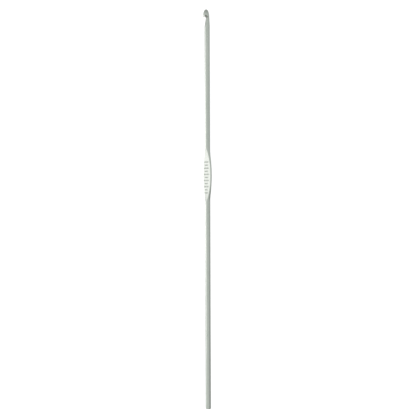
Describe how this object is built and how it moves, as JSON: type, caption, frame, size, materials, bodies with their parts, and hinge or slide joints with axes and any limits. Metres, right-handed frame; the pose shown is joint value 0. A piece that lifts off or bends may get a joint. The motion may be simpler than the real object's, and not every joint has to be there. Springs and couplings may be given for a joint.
{
  "type": "crochet hook",
  "caption": "One-piece aluminium wire crochet hook with a rounded head, an undercut throat, a pressed thumb rest and a straight round handle.",
  "frame": {"origin": "on the surface that the hook lies on, under the middle of its length and width", "axes": "+X along the wire towards the hook's tip, +Z out of the thumb rest's stamped face, +Y completes the right-handed frame and is the side that the mouth leans to"},
  "size_m": [0.15, 0.0038, 0.0024],
  "materials": {
    "satin_aluminium": "satin anodised, pale grey with a slight green tinge, brighter on the pressed thumb rest"
  },
  "bodies": {
    "root": {"head": "satin_aluminium", "shaft": "satin_aluminium", "thumb_rest": "satin_aluminium", "handle": "satin_aluminium"}
  },
  "joints": []
}
